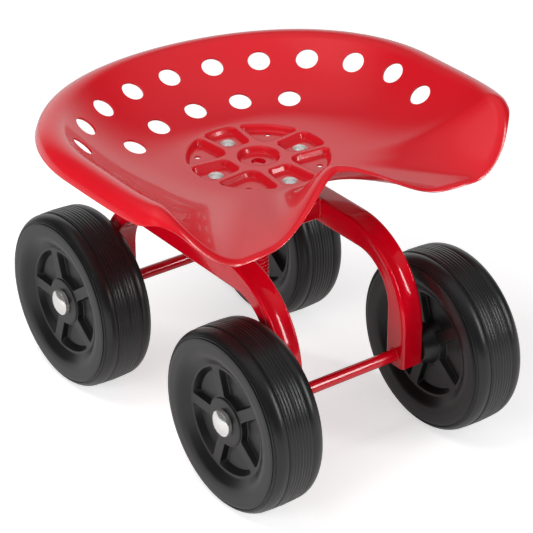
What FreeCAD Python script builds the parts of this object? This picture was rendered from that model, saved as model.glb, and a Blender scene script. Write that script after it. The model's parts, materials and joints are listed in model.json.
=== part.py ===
import FreeCAD, Part
import math
import os

# Rolling garden seat: a pressed steel tractor seat on a screw spindle, carried by a welded
# square-tube frame on four moulded wheels. Millimetres, +Z up, the seat faces -Y, the axles
# run along X, and the origin is on the floor under the spindle.

# Wheels
wheel_radius = 89.0
wheel_width = 56.0
wheel_crown = 0.6
shoulder_radius = 11.0
recess_radius = 66.0
recess_depth = 8.0
recess_roll = 18.0
recess_foot_radius = 54.5
recess_foot_round = 3.0
web_pocket_radius = 52.0
web_pocket_depth = 6.5
web_pocket_slope = 3.5
spoke_count = 5
spoke_width = 11.0
spoke_draft = 1.0
hub_radius = 23.3
hub_proud = 1.5
hub_rounding = 2.5
boss_base_radius = 24.0
boss_tip_radius = 15.0
boss_proud = 5.0

# Frame
wheelbase = 272.0
arch_spacing = 142.0
tube_size = 25.0
tube_wall = 1.5
tube_corner = 3.0
bend_outer = 91.0
bend_inner = 46.0
arch_rise = 103.5
leg_below_axle = 11.0
cross_depth = 40.0
cross_height = 20.0
cross_corner = 3.0

# Axles and caps
axle_diameter = 12.0
axle_into_cap = 6.5
cap_radius = 12.8
cap_skirt = 4.5
cap_height = 8.5

# Screw spindle, its bush and its stop
spindle_diameter = 20.0
bush_diameter = 30.0
bush_above = 9.5
bush_below = 20.5
spindle_below_bush = 47.5
stop_washer_diameter = 30.0
stop_washer_thickness = 3.0
stop_bolt_diameter = 8.0
stop_bolt_grip = 20.0
stop_tap_spare = 1.0
stop_head_across = 13.0
stop_head_height = 5.5

# Seat pan
seat_rise = 57.0
sheet = 2.0
emboss_radius = 72.0
rim_half_width = 202.0
rim_back = 186.0
rim_front = 180.6
front_corner = 4.75
notch_depth = 63.0
notch_half_width = 94.0
notch_power = 1.6
back_rim_rise = 43.0
side_rim_rise = 53.0
thigh_rise = 0.3
pommel_rise = 34.8
pommel_half_width = 99.0
wing_start = 120.0
wing_end = 140.0
saddle_start = 128.0
saddle_end = 156.0
back_wall_power = 1.4
side_wall_power = 2.6
lip_radius = 14.0
lip_skirt = 2.0
lip_fold = 72.0
lip_reach = 9.5
front_lip_share = 0.3
lip_fade_start = 117.0
lip_fade_end = 129.0

# Embossed pockets in the seat floor
pocket_depth = 6.0
pocket_draft = 3.0
pocket_outer = 65.0
bolt_pocket_inner = 32.0
bolt_pocket_inner_half = 9.5
bolt_pocket_outer_half = 14.0
pie_pocket_inner = 34.0
pie_pocket_inner_half = 2.5
pie_pocket_outer_half = 24.0
centre_recess_radius = 17.0

# Holes in the seat
vent_hole_radius = 11.0
outer_row_count = 13
outer_row_back = 146.0
outer_row_side = 170.5
outer_row_pitch = 47.3
inner_row_count = 5
inner_row_back = 102.3
inner_row_side = 127.8
inner_row_pitch = 48.3
centre_hole_radius = 7.0
spare_hole_radius = 3.0
spare_hole_circle = 58.0

# Seat plate and its fasteners
bolt_circle = 49.0
plate_side = 92.0
plate_corner = 9.0
plate_thickness = 4.0
bolt_diameter = 8.0
bolt_head_radius = 7.6
bolt_head_height = 2.8
bolt_tail = 3.0
washer_radius = 8.0
washer_thickness = 1.6
nut_across = 13.0
nut_height = 6.5

# Clearances
running_clearance = 0.05
weld_clearance = 0.1
bolt_clearance = 0.4
side_play = 0.5
cap_play = 0.3
washer_play = 0.1

# Places that follow from the sizes above
axle_z = wheel_radius
axle_radius = axle_diameter / 2
arch_x = arch_spacing / 2
arch_top = axle_z + arch_rise + tube_size / 2
arch_inner_x = arch_x - tube_size / 2
arch_outer_x = arch_x + tube_size / 2
wheel_half = wheel_width / 2
boss_x = arch_outer_x + side_play
wheel_inner_x = boss_x + boss_proud
wheel_x = wheel_inner_x + wheel_half
web_half = wheel_half - recess_depth
hub_face_x = wheel_x + web_half + hub_proud
cap_x = hub_face_x + cap_play
axle_end_x = cap_x + axle_into_cap
cross_z = arch_top - cross_height / 2
bush_top = arch_top + bush_above
bush_bottom = arch_top - cross_height - bush_below
floor_z = arch_top + seat_rise
pocket_z = floor_z - pocket_depth
plate_top = pocket_z - sheet
plate_bottom = plate_top - plate_thickness
spindle_radius = spindle_diameter / 2
spindle_bottom = bush_bottom - spindle_below_bush
washer_top = spindle_bottom - washer_play
washer_bottom = washer_top - stop_washer_thickness
ring_stations = 60
wall_shares = (0.0, 0.1, 0.25, 0.42, 0.58, 0.73, 0.87, 1.0)
lip_steps = 7
hole_reach = 12.0

x_axis = FreeCAD.Vector(1, 0, 0)
y_axis = FreeCAD.Vector(0, 1, 0)
z_axis = FreeCAD.Vector(0, 0, 1)
origin = FreeCAD.Vector(0, 0, 0)


def point(x, y, z):
    return FreeCAD.Vector(x, y, z)


def save(name, shape):
    shape.exportStep("parts/" + name + ".step")
    print(name, "valid", shape.isValid(), "volume", round(shape.Volume))


def rod(radius, start, end):
    length = (end - start).Length
    return Part.makeCylinder(radius, length, start, end - start)


def dome(radius, skirt, height, base, aim):
    rise = height - skirt
    ball_radius = (radius * radius + rise * rise) / (2 * rise)
    ball = Part.makeSphere(ball_radius, base + aim * (height - ball_radius))
    return rod(radius, base, base + aim * height).common(ball)


def hexagon(across, z, height, centre_x=0.0, centre_y=0.0):
    reach = across / math.sqrt(3)
    corners = []
    for k in range(7):
        turn = math.radians(60 * k)
        corners.append(point(centre_x + reach * math.cos(turn), centre_y + reach * math.sin(turn), z))
    return Part.Face(Part.makePolygon(corners)).extrude(z_axis * height)


def rounded_rectangle(centre, along, across, length, width, corner):
    half_length = length / 2
    half_width = width / 2
    inset = corner * (1 - math.sqrt(0.5))

    def place(u, v):
        return centre + along * u + across * v

    edges = []
    for su, sv in ((1, 1), (-1, 1), (-1, -1), (1, -1)):
        side = place(su * half_length, sv * (half_width - corner))
        top = place(su * (half_length - corner), sv * half_width)
        middle = place(su * (half_length - inset), sv * (half_width - inset))
        if su * sv > 0:
            start, end = side, top
        else:
            start, end = top, side
        if edges:
            edges.append(Part.LineSegment(edges[-1].valueAt(edges[-1].LastParameter), start).toShape())
        edges.append(Part.Arc(start, middle, end).toShape())
    last = edges[-1].valueAt(edges[-1].LastParameter)
    first = edges[0].valueAt(edges[0].FirstParameter)
    edges.append(Part.LineSegment(last, first).toShape())
    return Part.Wire(edges)


# Seat pan shape: every angle is measured from the back of the seat, +Y

def smooth_step(share):
    share = min(1.0, max(0.0, share))
    return share * share * (3 - 2 * share)


def rim_radius(turn):
    across = abs(math.sin(turn))
    along = math.cos(turn)
    if along >= 0:
        power = 2.0
        reach = rim_back
    else:
        power = front_corner
        beside = rim_front * across / -along / notch_half_width
        reach = rim_front - notch_depth / (1 + beside ** notch_power)
    return ((across / rim_half_width) ** power + (abs(along) / reach) ** power) ** (-1 / power)


def rim_rise(turn, radius):
    degrees = abs(math.degrees(turn))
    share = math.sin(turn) ** 2 if degrees < 90 else 1.0
    rise = back_rim_rise + (side_rim_rise - back_rim_rise) * share
    fall = smooth_step((degrees - wing_start) / (wing_end - wing_start))
    rise = rise + (thigh_rise - rise) * fall
    beside = radius * abs(math.sin(turn))
    if degrees > 90 and beside < pommel_half_width:
        swell = 0.5 * (1 + math.cos(math.pi * beside / pommel_half_width))
        rise = rise + (pommel_rise - thigh_rise) * swell
    return rise


def lip_share(turn):
    degrees = abs(math.degrees(turn))
    fade = smooth_step((degrees - lip_fade_start) / (lip_fade_end - lip_fade_start))
    return 1 - (1 - front_lip_share) * fade


def wall_height(turn, share, power):
    saddle = smooth_step((abs(math.degrees(turn)) - saddle_start) / (saddle_end - saddle_start))
    return (1 - saddle) * share ** power + saddle * smooth_step(share)


def wall_slope(turn, share, power):
    saddle = smooth_step((abs(math.degrees(turn)) - saddle_start) / (saddle_end - saddle_start))
    return (1 - saddle) * power * share ** (power - 1) + saddle * 6 * share * (1 - share)


def wall(turn):
    share = lip_share(turn)
    radius = lip_radius * share
    skirt = lip_skirt * share
    fold = math.radians(lip_fold)
    rim = rim_radius(turn)
    crest = rim + lip_reach * share - radius * math.sin(fold) - skirt * math.cos(fold)
    top = rim_rise(turn, rim)
    power = back_wall_power + (side_wall_power - back_wall_power) * math.sin(turn) ** 2
    slope = 0.0
    for step in range(6):
        end = crest - radius * math.sin(slope)
        rise = top - radius * (1 - math.cos(slope))
        slope = math.atan(wall_slope(turn, 1.0, power) * rise / (end - emboss_radius))
    return end, rise, power, slope, radius, skirt, fold


def section(turn):
    end, rise, power, slope, radius, skirt, fold = wall(turn)
    rows = []
    for share in wall_shares:
        tilt = math.atan(wall_slope(turn, share, power) * rise / (end - emboss_radius))
        across = emboss_radius + (end - emboss_radius) * share
        rows.append((across, rise * wall_height(turn, share, power), tilt))
    for k in range(1, lip_steps + 1):
        tilt = slope - (slope + fold) * k / lip_steps
        across = end + radius * (math.sin(slope) - math.sin(tilt))
        rows.append((across, rise + radius * (math.cos(tilt) - math.cos(slope)), tilt))
    across, height, tilt = rows[-1]
    rows.append((across + skirt * math.cos(fold), height - skirt * math.sin(fold), -fold))
    return rows


def floor_height(x, y):
    turn = math.atan2(x, y)
    end, rise, power, slope, radius, skirt, fold = wall(turn)
    share = max(0.0, (math.hypot(x, y) - emboss_radius) / (end - emboss_radius))
    return floor_z + rise * wall_height(turn, share, power)


def floor_normal(x, y):
    step = 0.5
    slope_x = (floor_height(x + step, y) - floor_height(x - step, y)) / (2 * step)
    slope_y = (floor_height(x, y + step) - floor_height(x, y - step)) / (2 * step)
    return point(-slope_x, -slope_y, 1.0).normalize()


def ring(points):
    count = len(points)
    steps = [k / count for k in range(count + 1)]
    curve = Part.BSplineCurve()
    curve.interpolate(Points=points, PeriodicFlag=True, Parameters=steps)
    return Part.Wire([curve.toShape()])


def pan_shell():
    turns = [2 * math.pi * k / ring_stations - math.pi for k in range(ring_stations)]
    sections = [section(turn) for turn in turns]
    upper = []
    lower = []
    for j in range(len(sections[0])):
        above = []
        below = []
        for turn, rows in zip(turns, sections):
            across, rise, tilt = rows[j]
            under = across + sheet * math.sin(tilt)
            drop = rise - sheet * math.cos(tilt)
            above.append(point(across * math.sin(turn), across * math.cos(turn), floor_z + rise))
            below.append(point(under * math.sin(turn), under * math.cos(turn), floor_z + drop))
        upper.append(ring(above))
        lower.append(ring(below))
    faces = Part.makeLoft(upper, False, True).Faces
    faces = faces + Part.makeLoft(lower, False, True).Faces
    faces = faces + Part.makeLoft([upper[-1], lower[-1]], False, True).Faces
    faces = faces + [Part.Face(upper[0]), Part.Face(lower[0])]
    shell = Part.makeShell(faces)
    shell.sewShape()
    solid = Part.makeSolid(shell)
    if solid.Volume < 0:
        solid.reverse()
    return solid


def pocket_outline(degrees, inner, outer, inner_half, outer_half, grow, z):
    turn = math.radians(degrees)
    along = point(math.cos(turn), math.sin(turn), 0)
    across = point(-math.sin(turn), math.cos(turn), 0)
    lift = point(0, 0, z)
    reach = outer + grow
    side = outer_half + grow
    end = math.sqrt(reach * reach - side * side)

    def place(u, v):
        return lift + along * u + across * v

    left_in = place(inner - grow, inner_half + grow)
    right_in = place(inner - grow, -inner_half - grow)
    left_out = place(end, side)
    right_out = place(end, -side)
    edges = [
        Part.LineSegment(left_in, right_in).toShape(),
        Part.LineSegment(right_in, right_out).toShape(),
        Part.Arc(right_out, place(reach, 0), left_out).toShape(),
        Part.LineSegment(left_out, left_in).toShape(),
    ]
    return Part.Wire(edges)


def pocket(degrees, sizes, grow, bottom, top):
    draft = pocket_draft * (top - bottom) / pocket_depth
    narrow = pocket_outline(degrees, *sizes, grow, bottom)
    wide = pocket_outline(degrees, *sizes, grow + draft, top)
    return Part.makeLoft([narrow, wide], True, True)


def row_places(count, back, side, pitch):
    places = [(0.0, back)]
    turn = 0.0
    while len(places) < (count + 1) // 2:
        turn = turn + math.radians(0.05)
        reach = ((math.cos(turn) / back) ** 2 + (math.sin(turn) / side) ** 2) ** -0.5
        x = reach * math.sin(turn)
        y = reach * math.cos(turn)
        if math.hypot(x - places[-1][0], y - places[-1][1]) >= pitch:
            places.append((x, y))
    return places + [(-x, y) for x, y in places[1:]]


def make_seat_pan():
    pan = pan_shell()
    bolt_sizes = (bolt_pocket_inner, pocket_outer, bolt_pocket_inner_half, bolt_pocket_outer_half)
    pie_sizes = (pie_pocket_inner, pocket_outer, pie_pocket_inner_half, pie_pocket_outer_half)
    lean = pocket_draft / pocket_depth
    wall_grow = sheet * (math.sqrt(1 + lean * lean) - lean)
    bumps = []
    dents = []
    for k in range(4):
        for degrees, sizes in ((90 * k, bolt_sizes), (90 * k + 45, pie_sizes)):
            bumps.append(pocket(degrees, sizes, wall_grow, plate_top, floor_z - sheet / 2))
            dents.append(pocket(degrees, sizes, 0.0, pocket_z, floor_z + sheet))
    recess_bottom = point(0, 0, plate_top)
    recess_floor = point(0, 0, pocket_z)
    rise = floor_z - sheet / 2 - plate_top
    narrow = centre_recess_radius + wall_grow
    bumps.append(Part.makeCone(narrow, narrow + rise * lean, rise, recess_bottom))
    depth = pocket_depth + sheet
    wide = centre_recess_radius + depth * lean
    dents.append(Part.makeCone(centre_recess_radius, wide, depth, recess_floor))
    pan = pan.multiFuse(bumps)
    drills = []
    for x, y in row_places(outer_row_count, outer_row_back, outer_row_side, outer_row_pitch):
        middle = point(x, y, floor_height(x, y))
        aim = floor_normal(x, y) * hole_reach
        drills.append(rod(vent_hole_radius, middle - aim, middle + aim))
    for x, y in row_places(inner_row_count, inner_row_back, inner_row_side, inner_row_pitch):
        middle = point(x, y, floor_height(x, y))
        aim = floor_normal(x, y) * hole_reach
        drills.append(rod(vent_hole_radius, middle - aim, middle + aim))
    low = plate_top - sheet
    for k in range(4):
        bolt = bolt_place(k)
        drills.append(rod(bolt_diameter / 2 + bolt_clearance, bolt + z_axis * low, bolt + z_axis * floor_z))
        turn = math.radians(90 * k + 45)
        spare = point(math.cos(turn), math.sin(turn), 0) * spare_hole_circle
        drills.append(rod(spare_hole_radius, spare + z_axis * low, spare + z_axis * floor_z))
    drills.append(rod(centre_hole_radius, point(0, 0, low), point(0, 0, floor_z)))
    return pan.cut(dents).cut(drills)


def bolt_place(k):
    turn = math.radians(90 * k)
    return point(bolt_circle * math.cos(turn), bolt_circle * math.sin(turn), 0)


def make_seat_plate():
    diagonal = (x_axis + y_axis).normalize()
    other = (y_axis - x_axis).normalize()
    middle = point(0, 0, plate_bottom)
    outline = rounded_rectangle(middle, diagonal, other, plate_side, plate_side, plate_corner)
    plate = Part.Face(outline).extrude(z_axis * plate_thickness)
    holes = [rod(spindle_radius + weld_clearance, middle, point(0, 0, plate_top))]
    hole_radius = bolt_diameter / 2 + bolt_clearance
    for k in range(4):
        bolt = bolt_place(k)
        holes.append(rod(hole_radius, bolt + z_axis * plate_bottom, bolt + z_axis * plate_top))
    return plate.cut(holes)


def make_seat_bolts():
    bolts = []
    tail = plate_bottom - washer_thickness - nut_height - bolt_tail
    for k in range(4):
        bolt = bolt_place(k)
        head = dome(bolt_head_radius, 0.0, bolt_head_height, bolt + z_axis * pocket_z, z_axis)
        shank = rod(bolt_diameter / 2, bolt + z_axis * tail, bolt + z_axis * pocket_z)
        bolts.append(head.fuse(shank))
    return Part.makeCompound(bolts)


def make_seat_washers():
    washers = []
    bottom = plate_bottom - washer_thickness
    for k in range(4):
        bolt = bolt_place(k)
        disc = rod(washer_radius, bolt + z_axis * bottom, bolt + z_axis * plate_bottom)
        hole = rod(bolt_diameter / 2 + bolt_clearance, bolt + z_axis * bottom, bolt + z_axis * plate_bottom)
        washers.append(disc.cut(hole))
    return Part.makeCompound(washers)


def make_seat_nuts():
    nuts = []
    top = plate_bottom - washer_thickness
    for k in range(4):
        bolt = bolt_place(k)
        bottom = top - nut_height
        nut = hexagon(nut_across, bottom, nut_height, bolt.x, bolt.y)
        hole = rod(bolt_diameter / 2 + weld_clearance, bolt + z_axis * bottom, bolt + z_axis * top)
        nuts.append(nut.cut(hole))
    return Part.makeCompound(nuts)


def make_spindle():
    shaft = rod(spindle_radius, point(0, 0, spindle_bottom), point(0, 0, plate_top))
    tap = rod(stop_bolt_diameter / 2 + running_clearance, point(0, 0, spindle_bottom),
              point(0, 0, spindle_bottom + stop_bolt_grip + stop_tap_spare))
    return shaft.cut(tap)


def make_stop_bolt():
    head_top = washer_bottom - washer_play
    head = hexagon(stop_head_across, head_top - stop_head_height, stop_head_height)
    shank_top = spindle_bottom + stop_bolt_grip
    shank_bottom = head_top - stop_head_height / 2
    shank = rod(stop_bolt_diameter / 2, point(0, 0, shank_bottom), point(0, 0, shank_top))
    return head.fuse(shank)


def make_stop_washer():
    disc = rod(stop_washer_diameter / 2, point(0, 0, washer_bottom), point(0, 0, washer_top))
    hole = rod(stop_bolt_diameter / 2 + bolt_clearance, point(0, 0, washer_bottom), point(0, 0, washer_top))
    return disc.cut(hole)


def make_spindle_bush():
    body = rod(bush_diameter / 2, point(0, 0, bush_bottom), point(0, 0, bush_top))
    bore = rod(spindle_radius + running_clearance, point(0, 0, bush_bottom), point(0, 0, bush_top))
    return body.cut(bore)


def make_cross_tube():
    start = point(-arch_inner_x, 0, cross_z)
    outer = rounded_rectangle(start, y_axis, z_axis, cross_depth, cross_height, cross_corner)
    inner_depth = cross_depth - 2 * tube_wall
    inner_height = cross_height - 2 * tube_wall
    inner = rounded_rectangle(start, y_axis, z_axis, inner_depth, inner_height, cross_corner - tube_wall)
    run = x_axis * (2 * arch_inner_x)
    tube = Part.Face(outer).extrude(run).cut(Part.Face(inner).extrude(run))
    hole = rod(bush_diameter / 2 + weld_clearance, point(0, 0, bush_bottom), point(0, 0, bush_top))
    return tube.cut(hole)


def arch_line(x, reach, foot, top, bend):
    shoulder = reach - bend
    spring = top - bend
    lean = bend * math.sqrt(0.5)
    left = [point(x, -reach, foot), point(x, -reach, spring), point(x, -shoulder, top)]
    right = [point(x, shoulder, top), point(x, reach, spring), point(x, reach, foot)]
    return [
        Part.LineSegment(left[0], left[1]).toShape(),
        Part.Arc(left[1], point(x, -shoulder - lean, spring + lean), left[2]).toShape(),
        Part.LineSegment(left[2], right[0]).toShape(),
        Part.Arc(right[0], point(x, shoulder + lean, spring + lean), right[1]).toShape(),
        Part.LineSegment(right[1], right[2]).toShape(),
    ]


def arch_solid(x, inset, foot):
    width = tube_size - 2 * inset
    start = x - width / 2
    outside = wheelbase / 2 + width / 2
    inside = outside - width
    edges = arch_line(start, outside, foot, arch_top - inset, bend_outer - inset)
    edges = edges + arch_line(start, inside, foot, arch_top - tube_size + inset, bend_inner + inset)
    for side in (-1, 1):
        heel = point(start, side * outside, foot)
        toe = point(start, side * inside, foot)
        edges.append(Part.LineSegment(heel, toe).toShape())
    profile = Part.Wire(Part.__sortEdges__(edges))
    solid = Part.Face(profile).extrude(x_axis * width)
    long_edges = []
    for edge in solid.Edges:
        box = edge.BoundBox
        if box.XLength < 0.01 and box.ZLength + box.ZMax - foot > 0.01:
            long_edges.append(edge)
    return solid.makeFillet(tube_corner - inset, long_edges)


def make_arch(x):
    foot = axle_z - leg_below_axle
    tube = arch_solid(x, 0.0, foot).cut(arch_solid(x, tube_wall, foot - tube_wall))
    holes = []
    for side in (-1, 1):
        y = side * wheelbase / 2
        start = point(x - tube_size, y, axle_z)
        holes.append(rod(axle_radius + weld_clearance, start, start + x_axis * (2 * tube_size)))
    return tube.cut(holes)


def make_axle(y):
    return rod(axle_radius, point(-axle_end_x, y, axle_z), point(axle_end_x, y, axle_z))


def place_on_axle(shape, side, y):
    if side < 0:
        shape = shape.mirror(origin, x_axis)
    return shape.translated(point(0, y, axle_z))


def profile_ring(points):
    corners = [point(x, 0, r) for x, r in points]
    corners.append(corners[0])
    return Part.Face(Part.makePolygon(corners)).revolve(origin, x_axis, 360)


def make_cap():
    seat = point(cap_x, 0, 0)
    bore = rod(axle_radius + running_clearance, seat, point(axle_end_x, 0, 0))
    return dome(cap_radius, cap_skirt, cap_height, seat, x_axis).cut(bore)


def circle_edges(shape, x, radius):
    found = []
    for edge in shape.Edges:
        if isinstance(edge.Curve, Part.Circle):
            same_x = abs(edge.Curve.Center.x - x) < 0.01
            if same_x and abs(edge.Curve.Radius - radius) < 0.01:
                found.append(edge)
    return found


def spoke(face_x, floor_x, k):
    half = spoke_width / 2
    wide = half + spoke_draft
    root = boss_tip_radius
    end = (web_pocket_radius + recess_foot_radius) / 2
    corners = [point(face_x, root, -half), point(face_x, root, half), point(floor_x, root, wide),
               point(floor_x, root, -wide), point(face_x, root, -half)]
    bar = Part.Face(Part.makePolygon(corners)).extrude(y_axis * (end - root))
    return bar.rotated(origin, x_axis, 360.0 / spoke_count * k)


def make_wheel():
    bore = axle_radius + running_clearance
    outside = wheel_x + wheel_half
    inside = wheel_x - wheel_half
    face_out = wheel_x + web_half
    face_in = wheel_x - web_half
    floor_out = face_out - web_pocket_depth
    floor_in = face_in + web_pocket_depth
    floor_radius = web_pocket_radius - web_pocket_slope
    edge_radius = wheel_radius - wheel_crown
    body = profile_ring([
        (boss_x, bore), (boss_x, boss_tip_radius), (floor_in, boss_base_radius), (floor_in, floor_radius),
        (face_in, web_pocket_radius), (face_in, recess_foot_radius), (inside, recess_radius),
        (inside, edge_radius), (wheel_x, wheel_radius), (outside, edge_radius),
        (outside, recess_radius), (face_out, recess_foot_radius), (face_out, web_pocket_radius),
        (floor_out, floor_radius), (floor_out, hub_radius), (hub_face_x, hub_radius), (hub_face_x, bore),
    ])
    shoulders = circle_edges(body, inside, edge_radius)
    shoulders = shoulders + circle_edges(body, outside, edge_radius)
    body = body.makeFillet(shoulder_radius, shoulders)
    rolls = circle_edges(body, inside, recess_radius)
    rolls = rolls + circle_edges(body, outside, recess_radius)
    body = body.makeFillet(recess_roll, rolls)
    feet = circle_edges(body, face_in, recess_foot_radius)
    feet = feet + circle_edges(body, face_out, recess_foot_radius)
    body = body.makeFillet(recess_foot_round, feet)
    body = body.makeFillet(hub_rounding, circle_edges(body, hub_face_x, hub_radius))
    spokes = []
    for k in range(spoke_count):
        spokes.append(spoke(face_out, floor_out, k))
        spokes.append(spoke(face_in, floor_in, k))
    return body.multiFuse(spokes).removeSplitter()


def main():
    os.makedirs("parts", exist_ok=True)
    save("seat_pan", make_seat_pan())
    save("seat_plate", make_seat_plate())
    save("seat_bolts", make_seat_bolts())
    save("seat_washers", make_seat_washers())
    save("seat_nuts", make_seat_nuts())
    save("spindle", make_spindle())
    save("stop_bolt", make_stop_bolt())
    save("stop_washer", make_stop_washer())
    save("spindle_bush", make_spindle_bush())
    save("cross_tube", make_cross_tube())
    save("left_arch", make_arch(-arch_x))
    save("right_arch", make_arch(arch_x))
    wheel = make_wheel()
    cap = make_cap()
    for end, y in (("front", -wheelbase / 2), ("rear", wheelbase / 2)):
        save(end + "_axle", make_axle(y))
        for hand, side in (("left", -1), ("right", 1)):
            save(end + "_" + hand + "_wheel", place_on_axle(wheel, side, y))
            save(end + "_" + hand + "_cap", place_on_axle(cap, side, y))


main()
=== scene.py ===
import json
from contextlib import contextmanager
from math import acos, asin, atan, atan2, ceil, cos, degrees, hypot, pi, radians, sin, sqrt, tan, tau

import bmesh
import bpy
from mathutils import Matrix, Quaternion, Vector
from mathutils.geometry import delaunay_2d_cdt


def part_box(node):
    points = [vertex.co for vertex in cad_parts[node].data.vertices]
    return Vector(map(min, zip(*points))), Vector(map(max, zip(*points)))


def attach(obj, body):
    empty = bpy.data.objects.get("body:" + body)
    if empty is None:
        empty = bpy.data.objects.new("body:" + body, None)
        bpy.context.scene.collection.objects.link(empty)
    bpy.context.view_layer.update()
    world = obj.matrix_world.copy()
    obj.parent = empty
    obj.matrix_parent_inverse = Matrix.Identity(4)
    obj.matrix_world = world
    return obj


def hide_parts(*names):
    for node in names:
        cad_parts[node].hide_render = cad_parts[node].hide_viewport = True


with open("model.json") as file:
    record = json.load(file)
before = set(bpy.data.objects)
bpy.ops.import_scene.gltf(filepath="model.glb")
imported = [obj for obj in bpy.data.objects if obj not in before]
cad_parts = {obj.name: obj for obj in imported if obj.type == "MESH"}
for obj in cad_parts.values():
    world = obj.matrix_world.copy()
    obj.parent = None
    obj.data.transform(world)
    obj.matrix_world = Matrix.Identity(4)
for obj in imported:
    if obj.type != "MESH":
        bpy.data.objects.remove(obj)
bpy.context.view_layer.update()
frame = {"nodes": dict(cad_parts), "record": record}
scene = bpy.context.scene
scene.view_settings.view_transform = "Standard"
mm = 0.001
tiny = 2e-6  # points nearer than this are one point
planGap = 1e-7  # the same for the flat triangulations
noiseMiddle = 0.5
print("frame loaded with", len(frame["nodes"]), "nodes")


# Node graphs: a wrapped socket does sums, and one method makes every other node

def summing(operation, flipped=False):
    def act(self, other):
        pair = (other, self) if flipped else (self, other)
        return self.graph.maths(operation, *pair)
    return act


class Sock:
    def __init__(self, graph, socket):
        self.graph = graph
        self.socket = socket

    def pick(self, name):
        return Sock(self.graph, self.socket.node.outputs[name])

    __add__ = __radd__ = summing("ADD")
    __mul__ = __rmul__ = summing("MULTIPLY")
    __sub__, __rsub__ = summing("SUBTRACT"), summing("SUBTRACT", True)
    __truediv__, __rtruediv__ = summing("DIVIDE"), summing("DIVIDE", True)


class Graph:
    def __init__(self, tree):
        self.tree = tree

    def node(self, kind, settings=None, values=None, out=0):
        made = self.tree.nodes.new(kind)
        for key, value in (settings or {}).items():
            setattr(made, key, value)
        for key, value in (values or {}).items():
            if isinstance(value, Sock):
                self.tree.links.new(value.socket, made.inputs[key])
            else:
                made.inputs[key].default_value = value
        return Sock(self, made.outputs[out]) if len(made.outputs) else None

    def maths(self, operation, first, second=0.0):
        return self.node("ShaderNodeMath", {"operation": operation}, {0: first, 1: second})

    def between(self, share, low, high):
        mix = {"data_type": "RGBA", "clamp_factor": True}
        return self.node("ShaderNodeMix", mix, {0: share, 6: low, 7: high}, out=2)

    def fade(self, value, reach, levels=(0.0, 1.0)):
        smooth = {"interpolation_type": "SMOOTHSTEP"}
        return self.node("ShaderNodeMapRange", smooth,
                         {0: value, 1: reach[0], 2: reach[1], 3: levels[0], 4: levels[1]})

    def cloud(self, coords, scale, detail):
        values = {"Vector": coords, "Scale": scale, "Detail": detail}
        return self.node("ShaderNodeTexNoise", None, values, out="Fac")


# Finishes: colour and roughness drift over the surface, and a fine grain lies in the coats

seatPaint = {"deep": (0.60, 0.006, 0.014, 1), "light": (0.66, 0.010, 0.020, 1), "rough": 0.24,
             "driftScale": 14.0, "driftDetail": 2.0, "driftRough": 0.05,
             "grainScale": 420.0, "grainDetail": 1.0, "grainRough": 0.04,
             "grainHeight": 0.00003, "grainStrength": 0.15,
             "sockets": {"Specular IOR Level": 0.38, "Coat Weight": 0.3, "Coat Roughness": 0.05}}
framePaint = {"deep": (0.58, 0.000, 0.008, 1), "light": (0.65, 0.000, 0.012, 1), "rough": 0.15,
              "driftScale": 14.0, "driftDetail": 2.0, "driftRough": 0.05,
              "grainScale": 520.0, "grainDetail": 1.0, "grainRough": 0.04,
              "grainHeight": 0.00002, "grainStrength": 0.2,
              "sockets": {"Specular IOR Level": 0.3, "Coat Weight": 0.4, "Coat Roughness": 0.04}}
wheelBlack = {"deep": (0.006, 0.006, 0.0065, 1), "light": (0.011, 0.011, 0.0115, 1), "rough": 0.34,
              "driftScale": 22.0, "driftDetail": 3.0, "driftRough": 0.16,
              "grainScale": 900.0, "grainDetail": 1.0, "grainRough": 0.08,
              "grainHeight": 0.00002, "grainStrength": 0.12, "sockets": {}}
zincPlate = {"deep": (0.72, 0.73, 0.72, 1), "light": (0.92, 0.92, 0.90, 1), "rough": 0.26,
             "driftScale": 260.0, "driftDetail": 3.0, "driftRough": 0.18, "sockets": {"Metallic": 0.6}}
capChrome = {"deep": (0.78, 0.77, 0.75, 1), "light": (0.88, 0.87, 0.86, 1), "rough": 0.14,
             "driftScale": 90.0, "driftDetail": 3.0, "driftRough": 0.06, "sockets": {"Metallic": 0.82}}


def startFinish(name):
    material = bpy.data.materials.new(name)
    material.use_nodes = True
    material.node_tree.nodes.clear()
    graph = Graph(material.node_tree)
    return material, graph, graph.node("ShaderNodeTexCoord", out="Object")


def makeFinish(name, form):
    material, graph, coords = startFinish(name)
    drift = graph.cloud(coords, form["driftScale"], form["driftDetail"])
    sockets = {"Base Color": graph.between(drift, form["deep"], form["light"]), **form["sockets"]}
    rough = (drift - noiseMiddle) * form["driftRough"] + form["rough"]
    if "grainScale" in form:
        grain = graph.cloud(coords, form["grainScale"], form["grainDetail"])
        rough = rough + (grain - noiseMiddle) * form["grainRough"]
        sockets["Normal"] = graph.node("ShaderNodeBump", None, {
            "Strength": form["grainStrength"], "Distance": form["grainHeight"], "Height": grain})
    sockets["Roughness"] = rough
    shader = graph.node("ShaderNodeBsdfPrincipled", None, sockets)
    graph.node("ShaderNodeOutputMaterial", None, {"Surface": shader})
    return material


finishes = {
    "seat_paint": makeFinish("satinRedCoat", seatPaint),
    "frame_paint": makeFinish("glossRedCoat", framePaint),
    "wheel_plastic": makeFinish("mouldedBlack", wheelBlack),
    "zinc": makeFinish("brightZinc", zincPlate),
    "cap_chrome": makeFinish("capChrome", capChrome),
}
print("finishes made:", len(finishes))


# Geometry Nodes: trees for turned, threaded, welded and ringed shapes

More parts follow.
